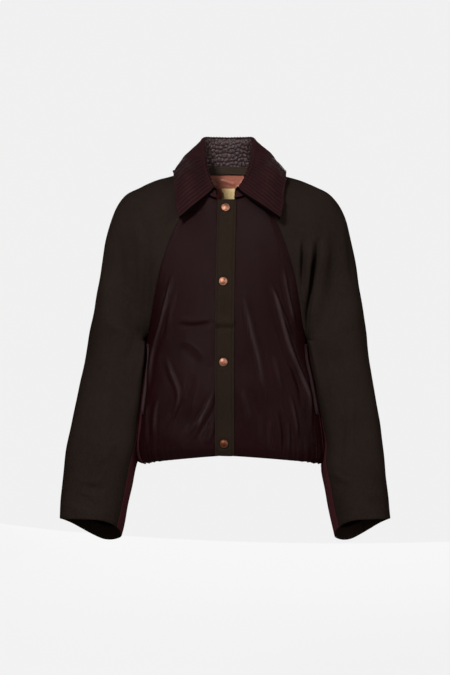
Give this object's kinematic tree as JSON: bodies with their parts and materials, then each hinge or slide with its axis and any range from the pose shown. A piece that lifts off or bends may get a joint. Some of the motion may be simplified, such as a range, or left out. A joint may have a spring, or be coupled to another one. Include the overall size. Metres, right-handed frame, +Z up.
{
  "type": "bomber jacket",
  "caption": "Boxy collared bomber jacket with raglan sleeves, snapped shut in front, hollow and filled out with nobody in it.",
  "frame": {"origin": "base of the neck, midway between the shoulders and between front and back, where the jacket hangs from the shoulders", "axes": "+Z up, -Y towards the front that snaps shut, +X towards the wearer's left"},
  "size_m": [0.6082, 0.2542, 0.7578],
  "materials": {
    "front_shell": "soft aubergine cotton with a slight sheen",
    "back_shell": "wine coloured cotton",
    "sleeve_shell": "matt dark olive brown canvas",
    "collar": "wine cotton quilted in fine rows",
    "placket": "matt dark olive canvas",
    "neck_tape": "olive twill tape",
    "lining": "copper satin",
    "label": "woven, plain gold",
    "snaps": "antique copper, worn satin"
  },
  "bodies": {
    "root": {"front_right": "front_shell", "front_left": "front_shell", "pocket_welt_right": "front_shell", "pocket_welt_left": "front_shell", "back": "back_shell", "sleeve_under_right": "back_shell", "sleeve_under_left": "back_shell", "sleeve_upper_right": "sleeve_shell", "sleeve_upper_left": "sleeve_shell", "neck_tape": "neck_tape", "upper_collar": "collar", "under_collar": "collar", "placket": "placket", "placket_under": "placket", "snap_cap_1": "snaps", "snap_cap_2": "snaps", "snap_cap_3": "snaps", "snap_cap_4": "snaps", "back_neck_lining": "lining", "label": "label"}
  },
  "joints": []
}
